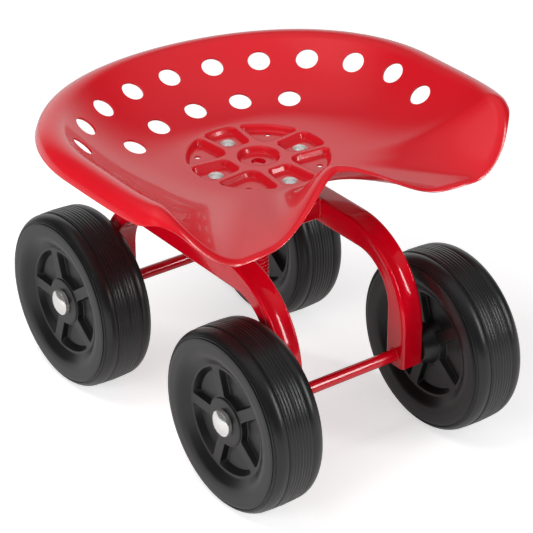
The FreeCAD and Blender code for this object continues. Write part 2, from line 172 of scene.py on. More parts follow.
def growTree(name, inputs):
    tree = bpy.data.node_groups.new(name, "GeometryNodeTree")
    graph = Graph(tree)
    for kind, labels in dict(inputs, Material="Finish").items():
        for label in labels.split():
            tree.interface.new_socket(label, in_out="INPUT", socket_type="NodeSocket" + kind)
    tree.interface.new_socket("Geometry", in_out="OUTPUT", socket_type="NodeSocketGeometry")
    group = tree.nodes.new("NodeGroupInput")
    return graph, {socket.name: Sock(graph, socket) for socket in group.outputs if socket.name}


def endTree(graph, shape, finish):
    whole = graph.node("GeometryNodeRealizeInstances", None, {0: shape})
    painted = graph.node("GeometryNodeSetMaterial", None, {"Geometry": whole, "Material": finish})
    graph.node("NodeGroupOutput", None, {0: painted})
    return graph


# Wraps a grid of Steps by Rows round an axis
def endWrap(graph, port, height, spot):
    grid = graph.node("GeometryNodeMeshGrid", None, {
        "Size X": port["Steps"], "Size Y": height,
        "Vertices X": port["Steps"] + 1, "Vertices Y": port["Rows"]})
    wrapped = graph.node("ShaderNodeCombineXYZ", None, dict(enumerate(spot)))
    body = graph.node("GeometryNodeSetPosition", None, {"Geometry": grid, "Position": wrapped})
    body = graph.node("GeometryNodeMergeByDistance", None, {"Geometry": body, "Distance": tiny})
    return endTree(graph, body, port["Finish"])


def objectShape(graph, port, whole=False):
    return graph.node("GeometryNodeObjectInfo", None, {"Object": port, "As Instance": whole}, out="Geometry")


def turnedTree():
    graph, port = growTree("turned", {"Object": "Profile", "Int": "Rows Steps"})
    place = graph.node("GeometryNodeInputPosition")
    along = graph.node("ShaderNodeSeparateXYZ", None, {0: place})
    turn = along.pick("X") * tau / port["Steps"] + pi
    row = along.pick("Y") + (port["Rows"] - 1) * 0.5
    index = graph.node("FunctionNodeFloatToInt", {"rounding_mode": "ROUND"}, {0: row})
    spot = graph.node("GeometryNodeSampleIndex", {"data_type": "FLOAT_VECTOR", "domain": "POINT"},
                      {"Geometry": objectShape(graph, port["Profile"]), "Value": place, "Index": index})
    spot = graph.node("ShaderNodeSeparateXYZ", None, {0: spot})
    reach = spot.pick("Y")
    ring = reach * graph.maths("COSINE", turn), reach * graph.maths("SINE", turn)
    return endWrap(graph, port, port["Rows"] - 1, (spot.pick("X"),) + ring)


def threadTree():
    graph, port = growTree("thread", {"Float": "Radius Depth Pitch Length Crest Root", "Int": "Rows Steps"})
    along = graph.node("ShaderNodeSeparateXYZ", None, {0: graph.node("GeometryNodeInputPosition")})
    share = along.pick("X") / port["Steps"]
    height = along.pick("Y") + port["Length"] * 0.5
    phase = graph.maths("FRACT", height / port["Pitch"] - share + 0.5)
    ramp = graph.maths("ABSOLUTE", phase - 0.5) * 2.0
    flank = graph.node("ShaderNodeMapRange", None, {0: ramp, 1: port["Crest"], 2: port["Root"]})
    reach = port["Radius"] - port["Depth"] * flank
    turn = share * tau
    ring = reach * graph.maths("COSINE", turn), reach * graph.maths("SINE", turn)
    return endWrap(graph, port, port["Length"], ring + (height,))


def beadTree():
    graph, port = growTree("bead", {
        "Object": "Path", "Float": "Radius Ripple Uneven Grain Pitch Step", "Int": "Sides"})
    line = graph.node("GeometryNodeMeshToCurve", None, {0: objectShape(graph, port["Path"])})
    line = graph.node("GeometryNodeResampleCurve", {"mode": "LENGTH"},
                      {"Curve": line, "Length": port["Step"]})
    length = graph.node("GeometryNodeSplineParameter", out="Length")
    wave = graph.maths("SINE", length * tau / port["Pitch"])
    noise = graph.node("ShaderNodeTexNoise", None, {"Scale": port["Grain"], "Detail": 1.0}, out="Fac")
    size = port["Radius"] * (1.0 + port["Ripple"] * wave + (noise - noiseMiddle) * port["Uneven"])
    section = graph.node("GeometryNodeCurvePrimitiveCircle", None,
                         {"Resolution": port["Sides"], "Radius": 1.0})
    body = graph.node("GeometryNodeCurveToMesh", None,
                      {"Curve": line, "Profile Curve": section, "Scale": size, "Fill Caps": True})
    return endTree(graph, body, port["Finish"])


def ringTree():
    graph, port = growTree("ring", {"Object": "Shape", "Int": "Count", "Float": "Radius"})
    spots = graph.node("GeometryNodeMeshCircle", None, {"Vertices": port["Count"], "Radius": port["Radius"]})
    shape = objectShape(graph, port["Shape"], whole=True)
    body = graph.node("GeometryNodeInstanceOnPoints", None, {"Points": spots, "Instance": shape})
    return endTree(graph, body, port["Finish"])


turned, thread, bead, ringed = turnedTree(), threadTree(), beadTree(), ringTree()
print("node trees ready")


# Mesh tools

def linked(name, data):
    made = bpy.data.objects.new(name, data)
    scene.collection.objects.link(made)
    return made


def bakedMesh(holder):
    depsgraph = bpy.context.evaluated_depsgraph_get()
    mesh = bpy.data.meshes.new_from_object(holder.evaluated_get(depsgraph))
    bpy.data.objects.remove(holder)
    return mesh


def runTree(graph, finish, values):
    values["Finish"] = finishes[finish]
    holder = linked("holder", bpy.data.meshes.new("holder"))
    modifier = holder.modifiers.new("build", "NODES")
    modifier.node_group = graph.tree
    for item in graph.tree.interface.items_tree:
        if item.in_out == "INPUT":
            modifier[item.identifier] = values[item.name]
    return bakedMesh(holder)


def modified(mesh, settings):
    holder = linked("holder", mesh)
    for kind, values in settings:
        modifier = holder.modifiers.new(kind.lower(), kind)
        for key, value in values.items():
            setattr(modifier, key, value)
    return bakedMesh(holder)


@contextmanager
def editing(mesh):
    shell = bmesh.new()
    shell.from_mesh(mesh)
    yield shell
    shell.to_mesh(mesh)
    shell.free()


def closeRims(shell):
    rims = [edge for edge in shell.edges if edge.is_boundary]
    bmesh.ops.holes_fill(shell, edges=rims, sides=0)


def cleanMesh(mesh, fill=False):
    with editing(mesh) as shell:
        bmesh.ops.remove_doubles(shell, verts=shell.verts, dist=tiny)
        bmesh.ops.dissolve_degenerate(shell, dist=tiny / 4, edges=shell.edges)
        if fill:
            closeRims(shell)
        bmesh.ops.recalc_face_normals(shell, faces=shell.faces)
    return mesh


def plainMesh(verts, faces):
    mesh = bpy.data.meshes.new("plain")
    mesh.from_pydata([Vector(v) * mm for v in verts], [], faces)
    return mesh


def joinedMesh(meshes):
    joined = bpy.data.meshes.new("joined")
    with editing(joined) as shell:
        for mesh in meshes:
            shell.from_mesh(mesh)
    return joined


def loopPairs(count):
    return [(k, (k + 1) % count) for k in range(count)]


def bandFaces(low, high, count):
    return [(low + a, low + b, high + b, high + a) for a, b in loopPairs(count)]


def guideObject(points, closed=False):
    mesh = bpy.data.meshes.new("guide")
    edges = loopPairs(len(points))
    mesh.from_pydata([Vector(p) * mm for p in points], edges if closed else edges[:-1], [])
    return linked("guide", mesh)


def turnedMesh(profile, steps, finish):
    guide = guideObject([(along, reach, 0) for along, reach in profile])
    mesh = runTree(turned, finish, {"Profile": guide, "Rows": len(profile), "Steps": steps})
    bpy.data.objects.remove(guide)
    return mesh


def ringMesh(mesh, count, radius, finish):
    template = linked("template", mesh)
    made = runTree(ringed, finish, {"Shape": template, "Count": count, "Radius": radius})
    bpy.data.objects.remove(template)
    return made


# Each cut is a straight prism from start to end
def cutOut(mesh, cuts):
    cutters = []
    for start, end, radius, sides in cuts:
        along = (Vector(end) - Vector(start)) * mm
        middle = (Vector(start) + Vector(end)) * mm / 2
        place = Matrix.Translation(middle) @ along.to_track_quat("Z", "Y").to_matrix().to_4x4()
        cutter = bpy.data.meshes.new("cutter")
        with editing(cutter) as shell:
            bmesh.ops.create_cone(shell, cap_ends=True, segments=sides, radius1=radius * mm,
                                  radius2=radius * mm, depth=along.length, matrix=place)
        cutters.append(linked("cutter", cutter))
    made = modified(mesh, [("BOOLEAN", {"operation": "DIFFERENCE", "solver": "EXACT", "object": cutter})
                           for cutter in cutters])
    for cutter in cutters:
        bpy.data.objects.remove(cutter)
    return made


bodyOf = {node: body for body, nodes in frame["record"]["behaviour"]["bodies"].items() for node in nodes}
slotOf = {row["node"]: row["material_slot"] for row in frame["record"]["subparts"]}


# A piece has the body and slot of its node, and stands for it unless it is an extra
def addPiece(node, mesh, sharp=38, name=None, extra=False):
    name = name or node[0] + node.title().replace("_", "")[1:]
    mesh.name = name
    mesh.materials.clear()
    mesh.materials.append(finishes[slotOf[node]])
    mesh.shade_smooth()
    mesh.set_sharp_from_angle(angle=radians(sharp))
    piece = linked(name, mesh)
    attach(piece, bodyOf[node])
    if not extra:
        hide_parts(node)
    print("piece", name, "faces", len(mesh.polygons))


# Radius, height and foot of an upright node
def uprightSize(node):
    low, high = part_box(node)
    return (high.x - low.x) / 2 / mm, (high.z - low.z) / mm, low.z / mm


def polar(reach, turn):
    return reach * cos(turn), reach * sin(turn)


def mixed(low, high, share):
    return low + (high - low) * share


def smoothStep(value, start=0.0, end=1.0):
    share = min(1.0, max(0.0, (value - start) / (end - start)))
    return share * share * (3 - 2 * share)


# The corners between the two ends are (x, y, radius)
def roundedPath(corners, stepDegrees=9.0):
    path = [Vector(corners[0][:2])]
    for before, corner, after in zip(corners, corners[1:], corners[2:]):
        here = Vector(corner[:2])
        back = (Vector(before[:2]) - here).normalized()
        ahead = (Vector(after[:2]) - here).normalized()
        half = back.angle(ahead) / 2
        centre = here + (back + ahead).normalized() * (corner[2] / sin(half))
        start = here + back * (corner[2] / tan(half)) - centre
        sweep = pi - 2 * half
        side = 1 if back.x * ahead.y - back.y * ahead.x < 0 else -1
        count = max(2, ceil(degrees(sweep) / stepDegrees))
        for k in range(count + 1):
            c, s = polar(1.0, side * sweep * k / count)
            path.append(centre + Vector((start.x * c - start.y * s, start.x * s + start.y * c)))
    path.append(Vector(corners[-1][:2]))
    return [(p.x, p.y) for p in path]


def domeProfile(top, rise, radius, inset, steps):
    ball = (radius ** 2 + rise ** 2) / (2 * rise)
    reach = asin((radius - inset) / ball)
    turns = [reach * k / steps for k in range(steps + 1)]
    return [(top - ball * (1 - cos(turn)), ball * sin(turn)) for turn in turns]


# A bar or, with an inner radius, a sleeve with both ends chamfered
def barProfile(inner, outer, height, edge, rim=None):
    rim = rim or outer - edge
    path = [(0, inner), (0, rim), (edge, outer), (height - edge, outer), (height, rim), (height, inner)]
    return path + [(0, inner)] if inner else path


# Seat pan: one height over the plan, the turn is measured from the back of the seat

seat = {"sheet": 2.0, "embossRadius": 72.0, "halfWidth": 202.0, "back": 186.0, "front": 180.6,
        "frontCorner": 4.75, "notchDepth": 63.0, "notchHalfWidth": 94.0, "notchPower": 1.6,
        "backRise": 43.0, "sideRise": 53.0,
        "thighRise": 0.3, "pommelRise": 34.8, "pommelHalfWidth": 99.0, "wing": (120.0, 140.0),
        "saddle": (128.0, 156.0), "backPower": 1.4, "sidePower": 2.6,
        "lipRadius": 16.0, "lipSkirt": 5.0, "lipFold": 72.0, "lipReach": 9.5, "lipFade": (117.0, 129.0),
        "frontLip": 0.3, "frontRoll": 9.0, "frontSkirt": 0.8, "frontFold": 46.0}
emboss = {"depth": 6.0, "draft": 3.0, "round": 0.8, "corner": 2.5, "outer": 65.0, "recess": 17.0,
          "pockets": 8, "sector": 0.7, "boltInner": 32.0, "boltInnerHalf": 9.5, "boltOuterHalf": 14.0,
          "pieInner": 34.0, "pieInnerHalf": 2.5, "pieOuterHalf": 24.0}
# A ring is the number of points round a hole and the widths of the bands kept round it
vents = {"rows": ((13, 146.0, 170.5, 47.3), (5, 102.3, 127.8, 48.3)), "search": 0.05,
         "radius": 11.0, "ventRing": (44, (1.1, 2.6)), "centre": 7.0, "centreRing": (36, (0.9,)),
         "spare": 3.0, "spareCircle": 58.0, "spareRing": (20, (0.9,)),
         "bolt": 4.4, "boltCircle": 49.0, "boltRing": (24, (0.9,)), "bolts": 4}
seatGrid = {"fine": 1.15, "coarse": 3.2, "fineBeyond": 3, "guard": 0.45, "wallRings": 50, "wallSpan": 150,
            "lipRings": 14, "lipStep": 2, "skirtRings": 2, "edge": 0.45, "edgeAngle": 60, "probe": 0.25,
            "lengthSteps": 12, "slopeRounds": 6, "holeRounds": 4}
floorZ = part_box("seat_plate")[1].z / mm + seat["sheet"] + emboss["depth"]


def plan(reach, turn):
    return reach * sin(turn), reach * cos(turn)


def rimRadius(turn):
    across = abs(sin(turn))
    along = cos(turn)
    if along >= 0:
        power, reach = 2.0, seat["back"]
    else:
        power = seat["frontCorner"]
        dip = (seat["front"] * across / -along / seat["notchHalfWidth"]) ** seat["notchPower"]
        reach = seat["front"] - seat["notchDepth"] / (1 + dip)
    return ((across / seat["halfWidth"]) ** power + (abs(along) / reach) ** power) ** (-1 / power)


def rimRise(turn, radius):
    angle = abs(degrees(turn))  # 90 is straight out to the side
    rise = mixed(seat["backRise"], seat["sideRise"], sin(turn) ** 2 if angle < 90 else 1.0)
    rise = mixed(rise, seat["thighRise"], smoothStep(angle, *seat["wing"]))
    beside = radius * abs(sin(turn))
    if angle > 90 and beside < seat["pommelHalfWidth"]:
        swell = 0.5 * (1 + cos(pi * beside / seat["pommelHalfWidth"]))
        rise += (seat["pommelRise"] - seat["thighRise"]) * swell
    return rise


def saddleShare(turn):
    return smoothStep(abs(degrees(turn)), *seat["saddle"])


def wallHeight(turn, share, power):
    saddle = saddleShare(turn)
    return (1 - saddle) * share ** power + saddle * smoothStep(share)


# Where the wall ends and the rolled lip starts, and the lip's own shape there
def wall(turn):
    share = 1 - (1 - seat["frontLip"]) * smoothStep(abs(degrees(turn)), *seat["lipFade"])
    full = (share - seat["frontLip"]) / (1 - seat["frontLip"])
    radius = mixed(seat["frontRoll"], seat["lipRadius"], full)
    skirt = mixed(seat["frontSkirt"], seat["lipSkirt"], full)
    fold = radians(mixed(seat["frontFold"], seat["lipFold"], full))
    rim = rimRadius(turn)
    crest = rim + seat["lipReach"] * share - radius * sin(fold) - skirt * cos(fold)
    top = rimRise(turn, rim)
    power = mixed(seat["backPower"], seat["sidePower"], sin(turn) ** 2)
    slope = 0.0
    for step in range(seatGrid["slopeRounds"]):
        end = crest - radius * sin(slope)
        rise = top - radius * (1 - cos(slope))
        slope = atan((1 - saddleShare(turn)) * power * rise / (end - seat["embossRadius"]))
    return end, rise, power, slope, radius, skirt, fold


def dishHeight(x, y):
    turn = atan2(x, y)
    end, rise, power = wall(turn)[:3]
    share = max(0.0, (hypot(x, y) - seat["embossRadius"]) / (end - seat["embossRadius"]))
    return rise * wallHeight(turn, share, power)


def dishNormal(x, y):
    step = seatGrid["probe"]
    slopeX = (dishHeight(x + step, y) - dishHeight(x - step, y)) / (2 * step)
    slopeY = (dishHeight(x, y + step) - dishHeight(x, y - step)) / (2 * step)
    return Vector((-slopeX, -slopeY, 1.0)).normalized()


# The length of the dish's curve from the middle out
def unrolled(turn, reach, form):
    start = seat["embossRadius"]
    if reach <= start:
        return reach
    end, rise, power = form[:3]
    steps = seatGrid["lengthSteps"]
    length = start
    before = (start, 0.0)
    for k in range(1, steps + 1):
        across = start + (reach - start) * k / steps
        height = rise * wallHeight(turn, (across - start) / (end - start), power)
        length += hypot(across - before[0], height - before[1])
        before = (across, height)
    return length


def pocketGap(along, across, inner, innerHalf, outerHalf):
    outer = emboss["outer"]
    end = sqrt(outer * outer - outerHalf * outerHalf)
    lean = Vector((end - inner, outerHalf - innerHalf)).normalized()
    side = (abs(across) - innerHalf) * lean.x - (along - inner) * lean.y
    corner = emboss["corner"]
    gaps = (inner - along + corner, side + corner, hypot(along, across) - outer + corner)
    beyond = sqrt(sum(max(0.0, gap) ** 2 for gap in gaps))
    return (beyond if beyond > 0 else max(gaps)) - corner


def pressDepth(gap):
    return emboss["depth"] * (1 - smoothStep(gap, -emboss["round"], emboss["draft"] + emboss["round"]))


def embossDrop(x, y):
    reach = hypot(x, y)
    drop = pressDepth(reach - emboss["recess"])
    for k in range(emboss["pockets"]):
        c, s = polar(1.0, tau / emboss["pockets"] * k)
        along = x * c + y * s
        if along < reach * emboss["sector"]:
            continue
        name = "pie" if k % 2 else "bolt"
        sizes = [emboss[name + size] for size in ("Inner", "InnerHalf", "OuterHalf")]
        drop = max(drop, pressDepth(pocketGap(along, -x * s + y * c, *sizes)))
    return drop


def ventPlaces(count, back, side, pitch):
    places = [(0.0, back)]
    turn = 0.0
    while len(places) < (count + 1) // 2:
        turn += radians(vents["search"])
        reach = ((cos(turn) / back) ** 2 + (sin(turn) / side) ** 2) ** -0.5
        x, y = plan(reach, turn)
        if hypot(x - places[-1][0], y - places[-1][1]) >= pitch:
            places.append((x, y))
    return places + [(-x, y) for x, y in places[1:]]


def seatHoles():
    holes = []
    for row in vents["rows"]:
        holes += [place + (vents["radius"],) + vents["ventRing"] for place in ventPlaces(*row)]
    for k in range(vents["bolts"]):
        turn = tau / vents["bolts"] * k
        holes.append(polar(vents["boltCircle"], turn) + (vents["bolt"],) + vents["boltRing"])
        turn += pi / vents["bolts"]
        holes.append(polar(vents["spareCircle"], turn) + (vents["spare"],) + vents["spareRing"])
    return holes + [(0.0, 0.0, vents["centre"]) + vents["centreRing"]]


def holeRing(x, y, radius, count):
    normal = dishNormal(x, y)
    first = normal.cross(Vector((0, 1, 0))).normalized()
    second = normal.cross(first)
    middle = Vector((x, y, dishHeight(x, y)))
    ring = []
    for k in range(count):
        c, s = polar(1.0, tau * k / count)
        spot = middle + (first * c + second * s) * radius
        for step in range(seatGrid["holeRounds"]):
            spot = spot - normal * ((spot.z - dishHeight(spot.x, spot.y)) * normal.z)
        ring.append((spot.x, spot.y))
    return ring


# Points are placed on the curved sheet and joined on its unrolled plan
def seatMesh():
    spots, flat, rims = [], [], []

    def put(x, y, z, reach, turn, rim=None):
        spots.append((x, y, floorZ + z - embossDrop(x, y)))
        flat.append(Vector(plan(reach, turn)))
        rims.append(rim)

    guards = []
    for number, (x, y, radius, count, guard) in enumerate(seatHoles()):
        for layer, grow in enumerate((0.0,) + guard):
            for px, py in holeRing(x, y, radius + grow, count):
                turn, reach = atan2(px, py), hypot(px, py)
                put(px, py, dishHeight(px, py), unrolled(turn, reach, wall(turn)), turn,
                    None if layer else number)
        spacing = seatGrid["coarse"] if radius == vents["radius"] else seatGrid["fine"]
        guards.append((Vector((x, y, dishHeight(x, y))), radius + guard[-1] + seatGrid["guard"] * spacing))

    def clear(x, y, z):
        return all((Vector((x, y, z)) - middle).length > reach for middle, reach in guards)

    start = seat["embossRadius"]
    radius = seatGrid["fine"]
    while radius < start + seatGrid["fineBeyond"]:
        count = round(tau * radius / seatGrid["fine"])
        for k in range(count):
            turn = tau * (k + 0.5 * (count % 2)) / count
            x, y = plan(radius, turn)
            z = dishHeight(x, y)
            if clear(x, y, z):
                put(x, y, z, unrolled(turn, radius, wall(turn)), turn)
        radius += seatGrid["fine"]
    first = radius - start
    rings, lips, skirts = seatGrid["wallRings"], seatGrid["lipRings"], seatGrid["skirtRings"]
    for ring in range(rings + lips + skirts):
        share = min(1.0, ring / (rings - 1))
        about = start + share * seatGrid["wallSpan"] + max(0, ring - rings) * seatGrid["lipStep"]
        count = round(tau * about / seatGrid["coarse"])
        for k in range(count):
            turn = tau * (k + 0.5 * (ring % 2)) / count - pi
            form = wall(turn)
            end, rise, power, slope, lip, skirt, fold = form
            if ring < rings:
                across = start + first + (end - start - first) * share
                height = rise * wallHeight(turn, (across - start) / (end - start), power)
                length = unrolled(turn, across, form)
            else:
                tilt = slope - (slope + fold) * min(1.0, (ring - rings + 1) / lips)
                run = skirt * max(0, ring - rings - lips + 1) / skirts
                across = end + lip * (sin(slope) - sin(tilt)) + run * cos(fold)
                height = rise + lip * (cos(tilt) - cos(slope)) - run * sin(fold)
                length = unrolled(turn, end, form) + lip * (slope - tilt) + run
            x, y = plan(across, turn)
            if ring >= rings or clear(x, y, height):
                put(x, y, height, length, turn, "rim" if ring == rings + lips + skirts - 1 else None)
    found = delaunay_2d_cdt(flat, [], [], 0, planGap)
    order = [sources[0] for sources in found[3]]
    faces = []
    for face in found[2]:
        corners = [order[k] for k in face]
        edges = {rims[k] for k in corners}
        if None in edges or len(edges) > 1:
            faces.append(corners)
    mesh = plainMesh(spots, faces)
    with editing(mesh) as shell:
        bmesh.ops.recalc_face_normals(shell, faces=shell.faces)
        if sum(face.normal.z for face in shell.faces) < 0:
            bmesh.ops.reverse_faces(shell, faces=shell.faces)
    return modified(mesh, [
        ("SOLIDIFY", {"thickness": seat["sheet"] * mm, "offset": -1.0, "use_even_offset": True}),
        ("BEVEL", {"width": seatGrid["edge"] * mm, "segments": 2, "limit_method": "ANGLE",
                   "angle_limit": radians(seatGrid["edgeAngle"])}),
    ])


addPiece("seat_pan", seatMesh(), sharp=55)


# Wheels: a turned tyre and hub joined by two webs with pockets between the spokes

wheel = {"halfWidth": 28.0, "tread": 88.85, "crown": 0.6, "ridge": 89.0, "ridgeHalf": (0.25, 0.5),
         "steps": 144,
         "grooves": 4, "groovePitch": 3.4, "grooveStart": 1.7, "grooveWidth": 1.6, "grooveDepth": 0.42,
         "shoulder": 11.0, "shoulderGap": 0.6, "shoulderStep": 5, "sideStep": 4.0,
         "lines": ((24.0, 2.4, 1.1), (37.0, 1.1, 0.6)), "lineGap": 2,
         "roll": (66.0, 18.0), "foot": (54.5, 3.0), "webOuter": 53.2, "webFace": 20.0, "webFloor": 13.5,
         "hub": 23.6, "hubProud": 1.5, "hubRound": 2.2, "hubSteps": 7, "bore": 6.05, "boreEdge": 0.7,
         "bossBase": 24.0, "bossTip": 15.0, "bossProud": 5.0, "bossRound": 1.0}
pocket = {"count": 5, "outer": 52.0, "outerSlope": 3.5, "halfSpoke": 5.5, "sideSlope": 1.0, "corner": 2.4,
          "leastCorner": 0.4, "guard": 0.35, "edge": 0.5, "foot": 1.2, "edgeSteps": 3, "cornerSteps": 5,
          "arcSteps": 7, "lineSteps": 4}
webSides = ({"side": 1, "ring": 23.6, "inner": 24.8, "innerSlope": 0.5},
            {"side": -1, "ring": 20.56, "inner": 21.6, "innerSlope": 2.6})
grooveHalf = ((0.5, 0.0), (0.42, 0.1), (0.25, 0.85), (0.1, 1.0))  # shares of the width and of the depth


def groove(path, place, outward, width, depth):
    along = Vector((outward.y, -outward.x))
    for across, drop in [(-a, d) for a, d in grooveHalf] + list(reversed(grooveHalf)):
        spot = place + along * (across * width) - outward * (drop * depth)
        path.append((spot.x, spot.y))


def tyreHalf():
    form = wheel
    half, shoulder, gap = form["halfWidth"], form["shoulder"], form["lineGap"]
    edge = half - shoulder
    flat, foot = form["ridgeHalf"]
    path = [(0.0, form["ridge"]), (flat, form["ridge"]), (foot, form["tread"])]
    for k in range(form["grooves"]):
        x = form["grooveStart"] + form["groovePitch"] * k
        spot = Vector((x, form["tread"] - form["crown"] * min(1.0, x / edge) ** 2))
        groove(path, spot, Vector((0, 1)), form["grooveWidth"], form["grooveDepth"])
    top = form["tread"] - form["crown"]
    centre = Vector((edge, top - shoulder))
    lines = sorted(form["lines"], reverse=True)
    angle = degrees(acos((path[-1][0] + form["shoulderGap"] - edge) / shoulder))
    while angle > 0:
        if lines and angle <= lines[0][0] + degrees(lines[0][1] / shoulder / 2) + gap:
            middle, width, depth = lines.pop(0)
            outward = Vector(polar(1.0, radians(middle)))
            groove(path, centre + outward * shoulder, outward, width, depth)
            angle = middle - degrees(width / shoulder / 2) - gap
            continue
        x, y = polar(shoulder, radians(angle))
        path.append((centre.x + x, centre.y + y))
        angle -= form["shoulderStep"]
    side = roundedPath([(half, top - shoulder), (half,) + form["roll"], (form["webFace"],) + form["foot"],
                        (form["webFace"], form["webOuter"])], form["sideStep"])
    return path + side


def hubProfile():
    form = wheel
    face, bore, edge = form["webFace"], form["bore"], form["boreEdge"]
    top = face + form["hubProud"]
    tip = -form["halfWidth"] - form["bossProud"]
    path = []
    for k in range(form["hubSteps"] + 1):
        c, s = polar(1.0, pi / 2 * k / form["hubSteps"])
        path.append((face + form["hubProud"] * s, form["hub"] - form["hubRound"] * (1 - c)))
    path += [(top, bore + edge), (top - edge, bore), (tip + edge, bore), (tip, bore + edge)]
    lean = (form["bossBase"] - form["bossTip"]) / (-form["webFloor"] - tip)
    path += roundedPath([(tip, bore), (tip, form["bossTip"], form["bossRound"]),
                         (-face, form["bossTip"] + (-face - tip) * lean)])[1:]
    return path


# One pocket's outline in the plane of the wheel, smaller by grow, at a share of its depth
def pocketLoop(web, grow, share):
    form = pocket
    inner = web["inner"] + web["innerSlope"] * share + grow
    outer = form["outer"] - form["outerSlope"] * share - grow
    half = form["halfSpoke"] + form["sideSlope"] * share + grow
    corner = max(form["leastCorner"], form["corner"] - grow)
    spread = pi / form["count"]
    middle = Vector((0, 0))

    def arc(centre, radius, start, end, steps):
        turns = [start + (end - start) * k / steps for k in range(steps + 1)]
        return [centre + Vector(polar(1.0, turn)) * radius for turn in turns]

    far = Vector((sqrt((outer - corner) ** 2 - (half + corner) ** 2), half + corner))
    near = Vector((sqrt((inner + corner) ** 2 - (half + corner) ** 2), half + corner))
    farTurn, nearTurn = atan2(far.y, far.x), atan2(near.y, near.x)
    side = arc(near, corner, nearTurn + pi, 1.5 * pi, form["cornerSteps"])
    for k in range(1, form["lineSteps"]):
        side.append(Vector((near.x + (far.x - near.x) * k / form["lineSteps"], half)))
    side += arc(far, corner, -0.5 * pi, farTurn, form["cornerSteps"])
    side += arc(middle, outer, farTurn, spread, form["arcSteps"])[1:]
    c, s = polar(1.0, 2 * spread)
    other = [Vector((p.x * c + p.y * s, p.x * s - p.y * c)) for p in reversed(side[:-1])]
    last = arc(middle, inner, 2 * spread - nearTurn, nearTurn, form["arcSteps"])[1:-1]
    return side + other + last


# Rows of (grow, share of the depth, x) from the web's face over the rounded edge to the floor
def pocketRows():
    face, floor, edge, foot = wheel["webFace"], wheel["webFloor"], pocket["edge"], pocket["foot"]
    steps = pocket["edgeSteps"]
    bends = [polar(1.0, pi / 2 * k / steps) for k in range(steps + 1)]
    rows = [(-edge - pocket["guard"], 0.0, face)]
    rows += [(-edge * (1 - s), 0.0, face - edge * (1 - c)) for c, s in bends]
    return rows + [(foot * (1 - c), 1.0, floor + foot * (1 - s)) for c, s in bends]


def webMesh(web):
    rows = pocketRows()
    steps, pockets = wheel["steps"], pocket["count"]
    verts, faces, flat, groups = [], [], [], []
    for name, radius in (("outer", wheel["webOuter"]), ("inner", web["ring"])):
        flat += [Vector(polar(radius, tau * k / steps)) for k in range(steps)]
        groups += [name] * steps
    loops = [pocketLoop(web, grow, share) for grow, share, x in rows]
    count = len(loops[0])
    for number in range(pockets):
        spin = Matrix.Rotation(tau * number / pockets, 2)
        start = len(verts)
        for loop, row in zip(loops, rows):
            verts += [(row[2], spun.x, spun.y) for spun in (spin @ p for p in loop)]
        floor = start + (len(rows) - 1) * count
        for low in range(start, floor, count):
            faces += bandFaces(low, low + count, count)
        faces.append(tuple(range(floor, floor + count)))
        flat += [spin @ p for p in loops[0]]
        groups += [number] * count
    edges = []
    for start in range(2 * steps, len(flat), count):
        edges += [(start + a, start + b) for a, b in loopPairs(count)]
    found = delaunay_2d_cdt(flat, edges, [], 0, planGap)
    start = len(verts)
    verts += [(wheel["webFace"], spot.x, spot.y) for spot in found[0]]
    inner = web["inner"] + rows[0][0]  # a triangle on one loop lies in the pocket beyond this radius
    for triangle in found[2]:
        kinds = {groups[found[3][k][0]] for k in triangle}
        middle = sum((found[0][k] for k in triangle), Vector((0, 0))) / 3
        onePocket = len(kinds) == 1 and kinds != {"outer"} and middle.length > inner
        if kinds != {"inner"} and not onePocket:
            faces.append(tuple(start + k for k in triangle))
    return plainMesh([(web["side"] * x, y, z) for x, y, z in verts], faces)


def wheelMesh():
    half = tyreHalf()
    tyre = [(-x, r) for x, r in reversed(half)] + half[1:]
    meshes = [turnedMesh(profile, wheel["steps"], "wheel_plastic") for profile in (tyre, hubProfile())]
    return cleanMesh(joinedMesh(meshes + [webMesh(web) for web in webSides]))


# Puts a right-hand shape at a node, mirrored for the left side
def sidePlaced(mesh, side, x, low, high):
    place = Matrix.Translation((x, (low.y + high.y) / 2, (low.z + high.z) / 2))
    mesh.transform(place @ Matrix.Diagonal((side, 1, 1, 1)))
    if side < 0:
        mesh.flip_normals()
    return mesh


axleEnds = [(end, hand, side) for end in ("front", "rear") for hand, side in (("left", -1), ("right", 1))]
rightWheel = wheelMesh()
for end, hand, side in axleEnds:
    node = end + "_" + hand + "_wheel"
    low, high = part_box(node)
    x = (high.x if side > 0 else low.x) - side * wheel["halfWidth"] * mm
    addPiece(node, sidePlaced(rightWheel.copy(), side, x, low, high), sharp=32)


# Push caps on the axle ends

cap = {"radius": 12.8, "skirt": 4.5, "height": 8.5, "round": 0.9, "edge": 0.3, "steps": 72, "domeSteps": 14,
       "bend": ((0.225, 0.405), (-0.1, 0.108), (-0.5, 0.0))}  # above the skirt, inside the radius


def capProfile():
    radius, skirt, edge = cap["radius"], cap["skirt"], cap["edge"]
    dome = domeProfile(cap["height"], cap["height"] - skirt, radius, cap["round"], cap["domeSteps"])
    bend = [(skirt + above, radius - inside) for above, inside in cap["bend"]]
    return dome + bend + [(edge, radius), (0.0, radius - edge), (0.0, 0.0)]


for end, hand, side in axleEnds:
    node = end + "_" + hand + "_cap"
    low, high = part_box(node)
    mesh = cleanMesh(turnedMesh(capProfile(), cap["steps"], "cap_chrome"))
    addPiece(node, sidePlaced(mesh, side, low.x if side > 0 else high.x, low, high))


# Frame tubes

arch = {"size": 25.0, "wall": 1.5, "corner": 3.0, "bendOuter": 91.0, "bendInner": 46.0, "bendSteps": 30,
        "dish": 2.2, "dishSteps": 10, "draw": 0.7, "drawRows": ((1.2, 0.6), (2.6, 1.0), (5.0, 0.6)),
        "axleHole": 6.7}
cross = {"depth": 40.0, "height": 20.0, "wall": 1.5, "corner": 3.0, "bushPlay": 0.1}
holeSides = 32
cornerSteps = 6


